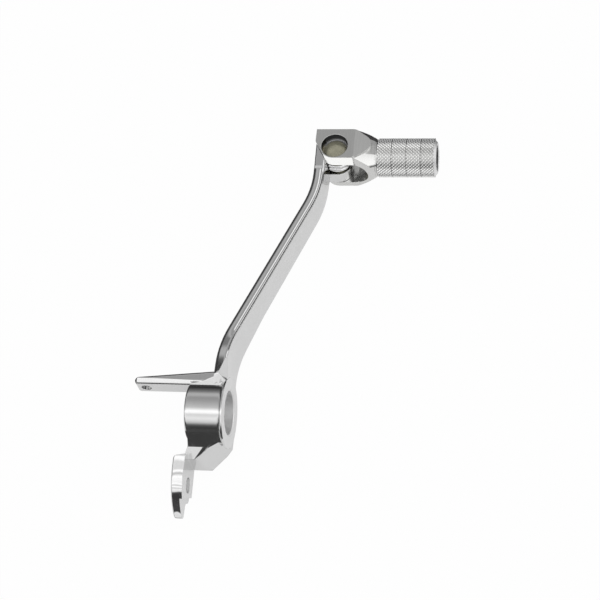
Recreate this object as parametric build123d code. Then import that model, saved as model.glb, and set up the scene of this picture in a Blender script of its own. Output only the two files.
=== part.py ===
"""Rear brake pedal of a motorcycle, for the right foot, with a folding toe peg.

Millimetres. The origin is the middle of the pivot bore. X runs along the bore and points outboard,
Y points forward along the arm to the toe, and Z points up.
"""

import math
import os

from build123d import *

# Pivot boss, round the bore along X
BORE_DIAMETER = 17.0
BORE_CHAMFER = 0.4
BOSS_DIAMETER = 23.5
BOSS_LENGTH = 15.4
BOSS_RIM_RADIUS = 1.2
FLANGE_DIAMETER = 27.4
FLANGE_THICKNESS = 0.7
FLANGE_FILLET = 1.6

# Hinge of the toe peg, a vertical axis
HINGE_X = 39.2
HINGE_Y = 116.2

# Blade of the arm: a tall thin strip with two bends, seen from above
BLADE_THICKNESS = 4.5
BLADE_ROOT_FACE_X = 6.0
BLADE_TOE_FACE_OFFSET = 3.4
BEND_ROOT_Y = 24.3
BEND_TOE_Y = 95.8
BEND_RADIUS = 38.0
BLADE_EDGE_RADIUS = 1.2

# Blade of the arm, seen from the side
BLADE_TOP_Z = 9.0
BLADE_NECK_BOTTOM_Z = -5.2
BLADE_NECK_Y = 101.0
BLADE_WAIST_BOTTOM_Z = -7.4
BLADE_WAIST_Y = 46.0
BLADE_ROOT_BOTTOM_Z = -12.8
BLADE_ROOT_Y = 14.0
BLADE_BOTTOM_RADIUS = 30.0
BLADE_HEEL_Y = 10.4
BLADE_HEEL_SLOPE = 17.0
BLADE_LEAN_Y = 21.0
BLADE_LEAN_TOP_X = 2.7
BLADE_LEAN_FOOT_X = 7.0
BLADE_LEAN_FOOT_Z = -4.0
SHOULDER_TOP_Z = 10.3
SHOULDER_RAMP = 8.4

# Toe peg: a fork with a pointed nose, a turned cone behind it and a round foot peg
PEG_AXIS_OFFSET = 0.8
EAR_RADIUS = 6.0
FRONT_FACE = 8.0
FORK_HALF_HEIGHT = 10.5
FORK_REACH = 8.0
NOSE_START = 8.4
NOSE_HALF_ANGLE = 37.0
NOSE_RADIUS = 4.2
SLOT_TOP_Z = 5.0
SLOT_BOTTOM_Z = -8.0
SLOT_DEPTH = 13.0
STOP_ANGLE = 208.5
CONE_ROOT_RADIUS = 12.2
NECK_RADIUS = 7.9
NECK_X = 16.2
RELIEF_WIDTH = 0.6
RELIEF_DEPTH = 0.7
PEG_DIAMETER = 15.2
PEG_LENGTH = 41.3
PEG_END_CHAMFER = 1.2
BAND_START = 17.2
BAND_PITCH = 5.95
BANDS = 4
BAND_GROOVE_WIDTH = 0.7
BAND_GROOVE_DEPTH = 0.5
PEG_BORE_DIAMETER = 10.0
PEG_BORE_DEPTH = 16.0
PEG_BORE_CHAMFER = 0.8
DRILL_POINT_ANGLE = 118.0

# Hinge pin, a rivet with a low domed head
PIN_DIAMETER = 6.0
PIN_HEAD_DIAMETER = 8.8
PIN_HEAD_RIM = 0.9
PIN_HEAD_DOME = 0.7
PIN_TAIL_DIAMETER = 8.4
RECESS_DIAMETER = 11.0
RECESS_DEPTH = 4.2

# Torsion spring of the toe peg
WIRE_DIAMETER = 1.7
COIL_MEAN_DIAMETER = 10.0
COIL_PITCH = 2.2
COIL_TURNS = 2
UPPER_LEG_REACH = 12.0
LOWER_LEG_REACH = 6.6

# Spring tab that points inboard
TAB_TIP_X = -30.3
TAB_REAR_Y = 8.9
TAB_TIP_THICKNESS = 3.1
TAB_ROOT_THICKNESS = 6.5
TAB_TOP_Z = 6.2
TAB_BOTTOM_Z = -2.2
TAB_HOLE_DIAMETER = 4.0
TAB_HOLE_INSET = 4.2
TAB_EDGE_RADIUS = 1.4
TAB_ROOT_FILLET = 2.5
TAB_ROOT_LAP = 0.5

# Push-rod lug that points back
LUG_FACE_X = -7.2
LUG_THICKNESS = 5.2
LUG_HOLE_Y = -26.6
LUG_HOLE_Z = -9.5
LUG_HOLE_DIAMETER = 6.2
LUG_TOP_Z = 0.6
LUG_TOP_LENGTH = 4.6
LUG_BACK_RADIUS = 17.5
LUG_TAIL_Z = -13.3
LUG_TAIL_LENGTH = 7.3
LUG_CORNER_RADIUS = 2.0
LUG_BOTTOM_Z = -17.7
LUG_FRONT_Y = -18.4
LUG_FOOT_Y = -11.0
LUG_STEP_Y = -32.0
LUG_STEP_DEPTH = 1.0
LUG_STEP_ANGLE = 23.0
LUG_EDGE_RADIUS = 1.2
LUG_DRAFT = 1.8

# Web between the boss and the lug: a ridge with a leaning outboard face, and a hollow inboard of it
WEB_TOP_Z = 4.0
WEB_BOTTOM_Z = -14.6
WEB_END_Y = -17.6
WEB_END_LEAN = 0.5
WEB_BACK_X = -7.0
WEB_END_X = -9.2
WEB_TOP_INNER_X = -8.3
WEB_TOP_OUTER = (3.7, -11.35)
WEB_BOTTOM_SIDE = (7.2, -9.0)
WEB_BOTTOM_INNER_X = 0.4
WEB_BOTTOM_OUTER = (5.8, -11.6)
WEB_RIDGE_START = (4.1, -11.4, 0.5)
WEB_RIDGE_END = (-4.1, -17.4, -5.0)
WEB_RIDGE_SLOPE = 45.0
WEB_WALL_LEAN = 20.0
WEB_WALL_SINK = 0.05
WEB_WALL_FOOT_Z = -1.5
WEB_FLOOR_FILLET = 1.5
WEB_FLOOR_FALL = 30.0

# Fits and gaps
PIN_FIT = 0.03
PIN_RUNNING_GAP = 0.06
SIDE_GAP = 0.2
TURNING_GAP = 0.3
STOP_GAP = 0.1
WIRE_GAP = 0.2
COIL_HEAD_GAP = 0.8
HEAD_SEAT_GAP = 0.02

# Worked out from the sizes above
BOSS_END_X = BOSS_LENGTH / 2
BLADE_TOE_FACE_X = HINGE_X - BLADE_TOE_FACE_OFFSET
FORK_MIDDLE_Y = (FRONT_FACE - EAR_RADIUS) / 2
FORK_HALF_WIDTH = (FRONT_FACE + EAR_RADIUS) / 2
SLOT_HEIGHT = SLOT_TOP_Z - SLOT_BOTTOM_Z
SLOT_MIDDLE_Z = (SLOT_TOP_Z + SLOT_BOTTOM_Z) / 2
SLOT_ROUND_X = SLOT_DEPTH - SLOT_HEIGHT / 2
COIL_RADIUS = COIL_MEAN_DIAMETER / 2
WIRE_RADIUS = WIRE_DIAMETER / 2
COIL_HEIGHT = COIL_PITCH * COIL_TURNS
COIL_TOP_Z = SLOT_TOP_Z - COIL_HEAD_GAP - WIRE_RADIUS
COIL_BOTTOM_Z = COIL_TOP_Z - COIL_HEIGHT
KNUCKLE_TOP_Z = COIL_BOTTOM_Z - WIRE_RADIUS - WIRE_GAP
KNUCKLE_BOTTOM_Z = SLOT_BOTTOM_Z + SIDE_GAP
RECESS_FLOOR_Z = FORK_HALF_HEIGHT - RECESS_DEPTH
HINGE = Pos(HINGE_X, HINGE_Y, 0)
UPWARD = (Align.CENTER, Align.CENTER, Align.MIN)


def polar(radius, angle):
    """A point at a distance and an angle in degrees."""
    return radius * math.cos(math.radians(angle)), radius * math.sin(math.radians(angle))


def away(start, radius, angle):
    """A point at a distance and an angle in degrees from another one."""
    step = polar(radius, angle)
    return start[0] + step[0], start[1] + step[1]


def block(x_range, y_range, z_range):
    """A box between pairs of limits."""
    corner = Pos(x_range[0], y_range[0], z_range[0])
    size = [high - low for low, high in (x_range, y_range, z_range)]
    return corner * Box(*size, align=Align.MIN)


def boss():
    """The pivot boss, which flares into a thin flange at its outboard end."""
    radius = BOSS_DIAMETER / 2
    edge = FLANGE_DIAMETER / 2
    rim = BOSS_END_X - FLANGE_THICKNESS
    flare = rim - FLANGE_FILLET
    face = (-BOSS_END_X, radius - BOSS_RIM_RADIUS)
    side = (-BOSS_END_X + BOSS_RIM_RADIUS, radius)
    outline = [
        Polyline((-BOSS_END_X, 0), face),
        RadiusArc(face, side, BOSS_RIM_RADIUS),
        Line(side, (flare, radius)),
        RadiusArc((flare, radius), (rim, radius + FLANGE_FILLET), -FLANGE_FILLET),
        Polyline((rim, radius + FLANGE_FILLET), (rim, edge), (BOSS_END_X, edge)),
        Polyline((BOSS_END_X, edge), (BOSS_END_X, 0), (-BOSS_END_X, 0)),
    ]
    return revolve(make_face(outline), Axis.X)


def bore():
    """The pivot bore with a chamfer at each mouth."""
    hole = extrude(Plane.YZ.offset(-BOSS_END_X) * Circle(BORE_DIAMETER / 2), BOSS_LENGTH)
    mouth = Plane.YZ.offset(BOSS_END_X) * Circle(BORE_DIAMETER / 2 + BORE_CHAMFER)
    outer = extrude(mouth, -BORE_CHAMFER, taper=45)
    return hole + outer + mirror(outer, Plane.YZ)


def blade_plan():
    """The blade seen from above: two offset lines with two bends each."""
    turn = math.atan2(BLADE_TOE_FACE_X - BLADE_ROOT_FACE_X, BEND_TOE_Y - BEND_ROOT_Y)
    shift = BLADE_THICKNESS * math.tan(turn / 2)
    front_y = HINGE_Y + FRONT_FACE
    outboard = [
        (BLADE_ROOT_FACE_X, 0),
        (BLADE_ROOT_FACE_X, BEND_ROOT_Y),
        (BLADE_TOE_FACE_X, BEND_TOE_Y),
        (BLADE_TOE_FACE_X, front_y),
    ]
    inboard = [
        (BLADE_TOE_FACE_X - BLADE_THICKNESS, front_y),
        (BLADE_TOE_FACE_X - BLADE_THICKNESS, BEND_TOE_Y + shift),
        (BLADE_ROOT_FACE_X - BLADE_THICKNESS, BEND_ROOT_Y + shift),
        (BLADE_ROOT_FACE_X - BLADE_THICKNESS, 0),
    ]
    wide = BEND_RADIUS + BLADE_THICKNESS
    radii = [0, BEND_RADIUS, wide, 0, 0, BEND_RADIUS, wide, 0]
    return make_face(FilletPolyline(*outboard, *inboard, radius=radii, close=True))


def blade_side():
    """The blade seen from outboard: a flat top with a ramp at each end, and a waisted underside."""
    front_y = HINGE_Y + FRONT_FACE
    ramp_y = HINGE_Y - SHOULDER_RAMP
    heel_drop = BLADE_HEEL_Y * math.tan(math.radians(BLADE_HEEL_SLOPE))
    points = [
        (BLADE_HEEL_Y, BLADE_TOP_Z),
        (0, BLADE_TOP_Z - heel_drop),
        (0, BLADE_ROOT_BOTTOM_Z + BLADE_EDGE_RADIUS),
        (BLADE_ROOT_Y, BLADE_ROOT_BOTTOM_Z),
        (BLADE_WAIST_Y, BLADE_WAIST_BOTTOM_Z),
        (BLADE_NECK_Y, BLADE_NECK_BOTTOM_Z),
        (front_y, KNUCKLE_BOTTOM_Z),
        (front_y, SHOULDER_TOP_Z),
        (ramp_y, BLADE_TOP_Z),
    ]
    bend = BLADE_BOTTOM_RADIUS
    return make_face(FilletPolyline(*points, radius=[bend, 0, 0, bend, bend, bend, 0, 0, 0], close=True))


def lean_cut():
    """What is taken off the outboard side of the blade's root, where it leans in to a narrow top."""
    start = Vector(BLADE_ROOT_FACE_X, BLADE_LEAN_Y, BLADE_TOP_Z)
    end = Vector(BLADE_LEAN_TOP_X, BLADE_HEEL_Y, BLADE_TOP_Z)
    foot = Vector(BLADE_LEAN_FOOT_X, BLADE_HEEL_Y, BLADE_LEAN_FOOT_Z)
    face = Plane(origin=start, x_dir=start - end, z_dir=(end - start).cross(foot - end))
    reach = 8 * BLADE_TOP_Z
    return face * Box(reach, reach, reach, align=UPWARD)


def blade():
    """The bent blade with rounded long edges."""
    tall = 2 * FLANGE_DIAMETER
    plan = extrude(Pos(0, 0, -tall / 2) * blade_plan(), tall)
    side = extrude(Plane.YZ * blade_side(), 2 * HINGE_X)
    strip = plan & side
    long_edges = [e for e in strip.edges() if abs((e % 0.5).Y) > 0.5]
    return fillet(long_edges, BLADE_EDGE_RADIUS) - lean_cut()


def ear_room():
    """The plan of the space of the upper ear: all that lies on the hinge's side of the stop face."""
    reach = 8 * EAR_RADIUS
    face = Pos(EAR_RADIUS + STOP_GAP, 0) * Rectangle(reach, reach, align=(Align.MAX, Align.CENTER))
    return Rot(0, 0, STOP_ANGLE) * face


def knuckle():
    """The tongue of the arm that lies in the slot of the fork, under the spring."""
    depth = BLADE_TOE_FACE_OFFSET + BLADE_THICKNESS
    root = Pos(-depth, 0) * Rectangle(depth, 2 * EAR_RADIUS, align=(Align.MIN, Align.CENTER))
    plan = HINGE * Pos(0, 0, KNUCKLE_BOTTOM_Z) * (Circle(EAR_RADIUS) + root)
    return extrude(plan, KNUCKLE_TOP_Z - KNUCKLE_BOTTOM_Z)


def tab():
    """The flat tab with a round tip and a hole for the return spring."""
    root_x = BLADE_ROOT_FACE_X - BLADE_THICKNESS / 2
    tip = TAB_TIP_THICKNESS / 2
    round_tip = Pos(TAB_TIP_X + tip, TAB_REAR_Y + tip) * Circle(tip)
    root = Pos(root_x, TAB_REAR_Y + TAB_ROOT_THICKNESS / 2) * Rectangle(TAB_ROOT_LAP, TAB_ROOT_THICKNESS)
    plan = make_hull(round_tip.edges() + root.edges())
    plate = extrude(Pos(0, 0, TAB_BOTTOM_Z) * plan, TAB_TOP_Z - TAB_BOTTOM_Z)
    rims = plate.faces().sort_by(Axis.Z)[-1].edges() + plate.faces().sort_by(Axis.Z)[0].edges()
    plate = fillet([e for e in rims if e.center().X < root_x], TAB_EDGE_RADIUS)
    hole_x = TAB_TIP_X + TAB_HOLE_INSET
    hole = Pos(hole_x, TAB_REAR_Y, (TAB_TOP_Z + TAB_BOTTOM_Z) / 2) * Rot(90, 0, 0) * Cylinder(
        TAB_HOLE_DIAMETER / 2, 4 * TAB_ROOT_THICKNESS
    )
    return plate, hole


def tab_fillet():
    """The hollow round between the top of the tab and the front of the boss."""
    radius = BOSS_DIAMETER / 2
    middle_z = TAB_TOP_Z + TAB_ROOT_FILLET
    middle_y = math.sqrt((radius + TAB_ROOT_FILLET) ** 2 - middle_z**2)
    share = radius / (radius + TAB_ROOT_FILLET)
    on_boss = (share * middle_y, share * middle_z)
    on_tab = (middle_y, TAB_TOP_Z)
    inner = (0, TAB_TOP_Z)
    outline = [
        Polyline(on_tab, inner, (0, on_boss[1]), on_boss),
        RadiusArc(on_boss, on_tab, -TAB_ROOT_FILLET),
    ]
    start = -BOSS_END_X + BOSS_RIM_RADIUS
    end = BLADE_ROOT_FACE_X - BLADE_THICKNESS / 2
    return extrude(Plane.YZ.offset(start) * make_face(outline), end - start)


def lug_outline():
    """The lug from the side: a flat top, a round back that falls to a narrow tail, and a straight foot."""
    top = (LUG_FRONT_Y - LUG_TOP_LENGTH, LUG_TOP_Z)
    fall = LUG_BACK_RADIUS - (LUG_TOP_Z - LUG_TAIL_Z)
    tail = (top[0] - math.sqrt(LUG_BACK_RADIUS**2 - fall**2), LUG_TAIL_Z)
    notch = (tail[0] + LUG_TAIL_LENGTH, LUG_TAIL_Z)
    heel = (notch[0] + (LUG_TAIL_Z - LUG_BOTTOM_Z) / 2, LUG_BOTTOM_Z)
    front = (LUG_FRONT_Y, LUG_TOP_Z)
    face = make_face([
        Polyline(tail, notch, heel, (LUG_FOOT_Y, WEB_BOTTOM_Z), front, top),
        RadiusArc(top, tail, -LUG_BACK_RADIUS),
    ])
    corners = [v for v in face.vertices() if abs(v.X - top[0]) > LUG_TOP_LENGTH / 2]
    return fillet(corners, LUG_CORNER_RADIUS)


def lug():
    """The push-rod lug: a plate with a round end, stepped thinner behind its hole."""
    plate = extrude(Plane.YZ.offset(LUG_FACE_X) * lug_outline(), -LUG_THICKNESS)
    reach = 4 * LUG_BACK_RADIUS
    beyond = Box(LUG_THICKNESS, reach, reach, align=(Align.MAX, Align.CENTER, Align.CENTER))
    plate -= Pos(LUG_FACE_X - LUG_THICKNESS, LUG_FOOT_Y, LUG_HOLE_Z) * Rot(0, 0, LUG_DRAFT) * beyond
    plate = fillet(plate.faces().sort_by(Axis.X)[0].edges(), LUG_EDGE_RADIUS)
    step = Box(2 * LUG_STEP_DEPTH, reach, reach, align=(Align.CENTER, Align.MAX, Align.CENTER))
    plate -= Pos(LUG_FACE_X, LUG_STEP_Y, LUG_HOLE_Z) * Rot(LUG_STEP_ANGLE, 0, 0) * step
    hole = Plane.YZ.offset(LUG_FACE_X) * Pos(LUG_HOLE_Y, LUG_HOLE_Z) * Circle(LUG_HOLE_DIAMETER / 2)
    return plate, extrude(hole, LUG_THICKNESS, both=True)


def web_hollow():
    """The hollow of the web: down a wall behind the boss, over a falling floor, and up a slope to the ridge."""
    reach = 2 * BOSS_DIAMETER
    start = polar(BOSS_DIAMETER / 2 - WEB_WALL_SINK, 180 - WEB_WALL_LEAN)
    drop = (start[1] - WEB_WALL_FOOT_Z) / math.cos(math.radians(WEB_WALL_LEAN))
    foot = away(start, drop, 270 - WEB_WALL_LEAN)
    middle = away(foot, WEB_FLOOR_FILLET, 180 - WEB_WALL_LEAN)
    turn = (-WEB_WALL_LEAN, (WEB_FLOOR_FALL - 90 - WEB_WALL_LEAN) / 2, WEB_FLOOR_FALL - 90)
    bend = [away(middle, WEB_FLOOR_FILLET, angle) for angle in turn]
    end = away(bend[2], reach, 180 + WEB_FLOOR_FALL)
    outline = [
        ThreePointArc(*bend),
        Polyline(bend[2], end, (end[0], reach), (start[0], reach), start, bend[0]),
    ]
    hollow = extrude(Plane.YZ * make_face(outline), reach, both=True)
    top = Vector(*WEB_RIDGE_START)
    ridge = (Vector(*WEB_RIDGE_END) - top).normalized()
    level = Vector(ridge.Y, -ridge.X, 0).normalized()
    slope = math.radians(WEB_RIDGE_SLOPE)
    fall = level * math.cos(slope) - Vector(0, 0, math.sin(slope))
    face = Plane(origin=top, x_dir=ridge, z_dir=fall.cross(ridge))
    return hollow & face * Box(4 * reach, 4 * reach, 4 * reach, align=UPWARD)


def web():
    """The web that carries the lug: a block from the boss back and inboard, hollowed behind its ridge."""
    back_y = -BOSS_DIAMETER / 2
    foot_y = WEB_END_Y - WEB_END_LEAN
    top_side = (WEB_TOP_OUTER[0], WEB_TOP_OUTER[1] / 2)
    top = [(WEB_BACK_X, 0), (WEB_TOP_OUTER[0], 0), top_side, WEB_TOP_OUTER]
    top += [(WEB_TOP_INNER_X, WEB_END_Y), (WEB_END_X, WEB_END_Y), (WEB_BACK_X, back_y)]
    bottom = [(WEB_BACK_X, 0), (WEB_BOTTOM_SIDE[0], 0), WEB_BOTTOM_SIDE, WEB_BOTTOM_OUTER]
    bottom += [(WEB_BOTTOM_INNER_X, foot_y), (WEB_END_X, foot_y), (WEB_BACK_X, back_y)]
    faces = [
        Pos(0, 0, WEB_BOTTOM_Z) * make_face(Polyline(*bottom, close=True)),
        Pos(0, 0, WEB_TOP_Z) * make_face(Polyline(*top, close=True)),
    ]
    return loft(faces, ruled=True) - web_hollow()


def spring_coil():
    """The middle line of the coil. It starts and ends at the front, where the wire runs outboard."""
    coil = Helix(COIL_PITCH, COIL_HEIGHT, COIL_RADIUS, lefthand=True)
    return Pos(0, 0, COIL_BOTTOM_Z) * Rot(0, 0, 90) * coil


def leg_hole(start, direction, reach):
    """The hole for a leg of the spring, round its line."""
    return extrude(Plane(origin=start, z_dir=direction) * Circle(WIRE_RADIUS + WIRE_GAP), reach + WIRE_GAP)


def pedal_arm():
    """The forged arm with all its features."""
    tab_plate, tab_hole = tab()
    lug_plate, lug_hole = lug()
    coil = spring_coil()
    coil_room = Pos(0, 0, KNUCKLE_TOP_Z) * Cylinder(
        COIL_RADIUS + WIRE_RADIUS + TURNING_GAP, FORK_HALF_HEIGHT - KNUCKLE_TOP_Z, align=UPWARD
    )
    upper_ear_room = extrude(Pos(0, 0, SLOT_TOP_Z - SIDE_GAP) * ear_room(), 2 * FORK_HALF_HEIGHT)
    pin_hole = Cylinder(PIN_DIAMETER / 2 + PIN_RUNNING_GAP, 4 * FORK_HALF_HEIGHT)
    head = blade() - HINGE * upper_ear_room - HINGE * coil_room + knuckle()
    head -= HINGE * leg_hole(coil @ 0, -(coil % 0), LOWER_LEG_REACH)
    body = boss() + head + tab_plate + tab_fillet() + web() + lug_plate
    return body - bore() - HINGE * pin_hole - tab_hole - lug_hole


def fork_plan():
    """The fork seen from above: a corner, a stop face, a round end about the hinge and a pointed nose."""
    foot = polar(EAR_RADIUS, STOP_ANGLE)
    along = polar(1, STOP_ANGLE - 90)
    corner_y = foot[1] + along[1] * (-FORK_REACH - foot[0]) / along[0]
    tip = (NOSE_START + FORK_HALF_WIDTH / math.tan(math.radians(NOSE_HALF_ANGLE)), FORK_MIDDLE_Y)
    outline = [
        Polyline(foot, (-FORK_REACH, corner_y), (-FORK_REACH, FRONT_FACE), (0, FRONT_FACE)),
        FilletPolyline(
            (0, FRONT_FACE),
            (NOSE_START, FRONT_FACE),
            tip,
            (NOSE_START, -EAR_RADIUS),
            (0, -EAR_RADIUS),
            radius=NOSE_RADIUS,
        ),
        CenterArc((0, 0), EAR_RADIUS, STOP_ANGLE, 270 - STOP_ANGLE),
    ]
    return make_face(outline)


def cone():
    """The turned cone between the fork and the foot peg, milled to the height and width of the fork."""
    turn = Pos(NOSE_START, PEG_AXIS_OFFSET, 0) * Rot(0, 90, 0)
    turned = turn * Cone(CONE_ROOT_RADIUS, NECK_RADIUS, NECK_X - NOSE_START, align=UPWARD)
    plan = Polyline(
        (NOSE_START, -EAR_RADIUS),
        (NECK_X, PEG_AXIS_OFFSET - NECK_RADIUS),
        (NECK_X, PEG_AXIS_OFFSET + NECK_RADIUS),
        (NOSE_START, FRONT_FACE),
        close=True,
    )
    return turned & extrude(make_face(plan), FORK_HALF_HEIGHT, both=True)


def slot():
    """The slot between the ears, open to both sides and to the hinge end, with a round inner end."""
    across = 2 * FRONT_FACE
    gap = block((-2 * FORK_REACH, SLOT_ROUND_X), (-across, across), (SLOT_BOTTOM_Z, SLOT_TOP_Z))
    end = Pos(SLOT_ROUND_X, 0, SLOT_MIDDLE_Z) * Rot(90, 0, 0) * Cylinder(SLOT_HEIGHT / 2, 2 * across)
    return gap + end


def foot_peg():
    """The round foot peg: bands between shallow grooves, and a drilled end."""
    radius = PEG_DIAMETER / 2
    turn = Pos(0, PEG_AXIS_OFFSET, 0) * Rot(0, 90, 0)
    rod = turn * Pos(0, 0, NOSE_START) * Cylinder(radius, PEG_LENGTH - NOSE_START, align=UPWARD)
    rod = chamfer(rod.edges().sort_by(Axis.X)[-1], PEG_END_CHAMFER)
    ring = Cylinder(2 * radius, BAND_GROOVE_WIDTH) - Cylinder(radius - BAND_GROOVE_DEPTH, BAND_GROOVE_WIDTH)
    for n in range(BANDS):
        rod -= turn * Pos(0, 0, BAND_START + n * BAND_PITCH) * ring
    drill = Cylinder(PEG_BORE_DIAMETER / 2, PEG_BORE_DEPTH, align=UPWARD)
    point = PEG_BORE_DIAMETER / 2 / math.tan(math.radians(DRILL_POINT_ANGLE / 2))
    drill += Cone(0, PEG_BORE_DIAMETER / 2, point, align=(Align.CENTER, Align.CENTER, Align.MAX))
    rod -= turn * Pos(0, 0, PEG_LENGTH - PEG_BORE_DEPTH) * drill
    inner = PEG_BORE_DIAMETER / 2
    mouth = Cone(inner, inner + PEG_BORE_CHAMFER, PEG_BORE_CHAMFER, align=UPWARD)
    return rod - turn * Pos(0, 0, PEG_LENGTH - PEG_BORE_CHAMFER) * mouth


def toe_peg():
    """The folding toe peg, one turned and milled piece."""
    coil = spring_coil()
    body = extrude(fork_plan(), FORK_HALF_HEIGHT, both=True) + cone() + foot_peg() - slot()
    body -= Pos(0, 0, RECESS_FLOOR_Z) * Cylinder(RECESS_DIAMETER / 2, FORK_HALF_HEIGHT, align=UPWARD)
    body -= Cylinder(PIN_DIAMETER / 2 + PIN_FIT, 4 * FORK_HALF_HEIGHT)
    sink = (PIN_TAIL_DIAMETER - PIN_DIAMETER) / 2
    body -= Pos(0, 0, -FORK_HALF_HEIGHT) * Cone(
        PIN_TAIL_DIAMETER / 2 + PIN_FIT, PIN_DIAMETER / 2 + PIN_FIT, sink, align=UPWARD
    )
    body -= leg_hole(coil @ 1, coil % 1, UPPER_LEG_REACH)
    body -= block(
        (NOSE_START - RELIEF_WIDTH, NOSE_START),
        (-2 * FRONT_FACE, RELIEF_DEPTH - EAR_RADIUS),
        (SLOT_MIDDLE_Z, 2 * FORK_HALF_HEIGHT),
    )
    return HINGE * body


def hinge_pin():
    """The rivet pin: a domed head on the floor of the recess and a flush flared tail."""
    shank = PIN_DIAMETER / 2
    head = PIN_HEAD_DIAMETER / 2
    seat = RECESS_FLOOR_Z + HEAD_SEAT_GAP
    rim = seat + PIN_HEAD_RIM
    tail = PIN_TAIL_DIAMETER / 2
    sink = tail - shank
    crown = rim + PIN_HEAD_DOME
    dome_radius = (head**2 + PIN_HEAD_DOME**2) / (2 * PIN_HEAD_DOME)
    mid_height = crown - dome_radius + math.sqrt(dome_radius**2 - (head / 2) ** 2)
    outline = [
        Polyline((0, crown), (0, -FORK_HALF_HEIGHT), (tail, -FORK_HALF_HEIGHT)),
        Polyline((tail, -FORK_HALF_HEIGHT), (shank, sink - FORK_HALF_HEIGHT), (shank, seat)),
        Polyline((shank, seat), (head, seat), (head, rim)),
        ThreePointArc((head, rim), (head / 2, mid_height), (0, crown)),
    ]
    return HINGE * revolve(Plane.XZ * make_face(outline), Axis.Z)


def toe_spring():
    """The torsion spring: two turns, a lower leg in the arm and an upper leg in the toe peg."""
    coil = spring_coil()
    lower = Line(coil @ 0 - (coil % 0) * LOWER_LEG_REACH, coil @ 0)
    upper = Line(coil @ 1, coil @ 1 + (coil % 1) * UPPER_LEG_REACH)
    path = Wire([lower.edge(), coil.edge(), upper.edge()])
    section = Plane(origin=path @ 0, z_dir=path % 0) * Circle(WIRE_RADIUS)
    return HINGE * sweep(section, path=path)


os.makedirs("parts", exist_ok=True)
for make in (pedal_arm, toe_peg, hinge_pin, toe_spring):
    export_step(make(), f"parts/{make.__name__}.step")
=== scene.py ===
"""Looks of a motorcycle's rear brake pedal with a folding toe peg.

Metres, in the frame of the solids: the origin is the middle of the pivot bore, +X points outboard,
+Y points forward to the toe and +Z points up. Named lengths are in millimetres. Named slopes are
where a face looks, in degrees from the rear over the top.
"""

import math

import bpy
from mathutils import Matrix, Vector


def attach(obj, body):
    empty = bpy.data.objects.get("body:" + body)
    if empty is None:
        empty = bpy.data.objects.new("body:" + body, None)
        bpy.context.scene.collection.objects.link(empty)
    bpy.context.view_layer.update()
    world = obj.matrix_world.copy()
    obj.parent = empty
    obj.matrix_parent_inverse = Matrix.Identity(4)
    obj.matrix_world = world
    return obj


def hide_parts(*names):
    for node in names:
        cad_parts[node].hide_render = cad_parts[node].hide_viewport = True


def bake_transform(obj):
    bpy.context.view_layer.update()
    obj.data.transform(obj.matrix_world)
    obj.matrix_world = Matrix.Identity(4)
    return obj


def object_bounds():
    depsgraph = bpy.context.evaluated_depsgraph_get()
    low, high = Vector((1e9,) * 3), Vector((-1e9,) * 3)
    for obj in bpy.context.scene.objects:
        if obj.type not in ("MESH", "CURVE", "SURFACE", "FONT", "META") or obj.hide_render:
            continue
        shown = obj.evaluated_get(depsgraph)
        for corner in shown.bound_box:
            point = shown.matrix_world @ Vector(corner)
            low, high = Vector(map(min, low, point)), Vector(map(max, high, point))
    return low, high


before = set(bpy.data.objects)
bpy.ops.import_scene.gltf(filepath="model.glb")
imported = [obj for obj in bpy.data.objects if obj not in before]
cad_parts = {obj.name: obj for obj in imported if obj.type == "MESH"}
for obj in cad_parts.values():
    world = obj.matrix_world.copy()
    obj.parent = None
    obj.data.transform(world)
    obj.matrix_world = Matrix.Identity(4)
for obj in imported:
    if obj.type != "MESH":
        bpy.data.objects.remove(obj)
solid_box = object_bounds()

MM = 0.001

# Hinge of the toe peg, its fork and the recess of the pin, as in the solids
HINGE_X = 39.2
HINGE_Y = 116.2
RECESS_RADIUS = 5.5
RECESS_FLOOR_Z = 6.3
RECESS_RIM_Z = 10.48
EAR_START_X = 30.0
EAR_BOTTOM_Z = 4.4
CONE_RANGE = (47.0, 56.0)

# Foot peg, as in the solids: places along it are from the hinge
PEG_AXIS_Y = 117.0
PEG_RADIUS = 7.6
PEG_FLAT_END = 40.1
PEG_END = 41.3
PEG_END_CHAMFER = 1.2
PEG_BORE_RADIUS = 5.0
PEG_BORE_REACH = 20.0
BAND_GROOVE = 0.7
BAND_STARTS = (17.2, 23.15, 29.1, 35.05)

# Blade, as in the solids: the middle line of its top, and its outboard face at the root
BLADE_ROOT_X = 3.75
BLADE_TOE_X = 33.55
BEND_ROOT_Y = 24.3
BEND_TOE_Y = 95.8
BEND_SOFT = 4.6
BLADE_HALF = 2.25
BLADE_FACE_X = 6.0
BLADE_TOP_Z = 9.0
BLADE_EDGE_RADIUS = 1.2

# Outboard top edge of the blade between its bends
EDGE_START = 10.0
EDGE_END = 37.0
EDGE_WIDTH = 2.6
EDGE_DEPTH = 7.8
EDGE_PROUD = 0.03
EDGE_STEPS = 16

# Boss, web and lug, as in the solids
BORE_RADIUS = 8.5
BOSS_RADIUS = 11.75
BOSS_HALF = 8.0
RIDGE_START = (4.1, -11.4)
RIDGE_END = (-4.1, -17.4)
LUG_HOLE = (-26.6, -9.5)
LUG_HOLE_RADIUS = 3.1

# Knurl of the foot peg: the crest is a share of a diamond's width
KNURL_AROUND = 36
KNURL_STEP = 0.68
KNURL_HEIGHT = 0.46
KNURL_SINK = 0.06
KNURL_CREST = 0.15
KNURL_OVERLAP = 0.24


# ---------------------------------------------------------------- small helpers

def new_node(tree, kind, **values):
    """A node of a tree. Values set its inputs by name, or its settings where no input has that name."""
    node = tree.nodes.new(kind)
    for name, value in values.items():
        socket = node.inputs.get(name.replace("_", " "))
        if socket is not None:
            socket.default_value = value
        else:
            setattr(node, name, value)
    return node


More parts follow.
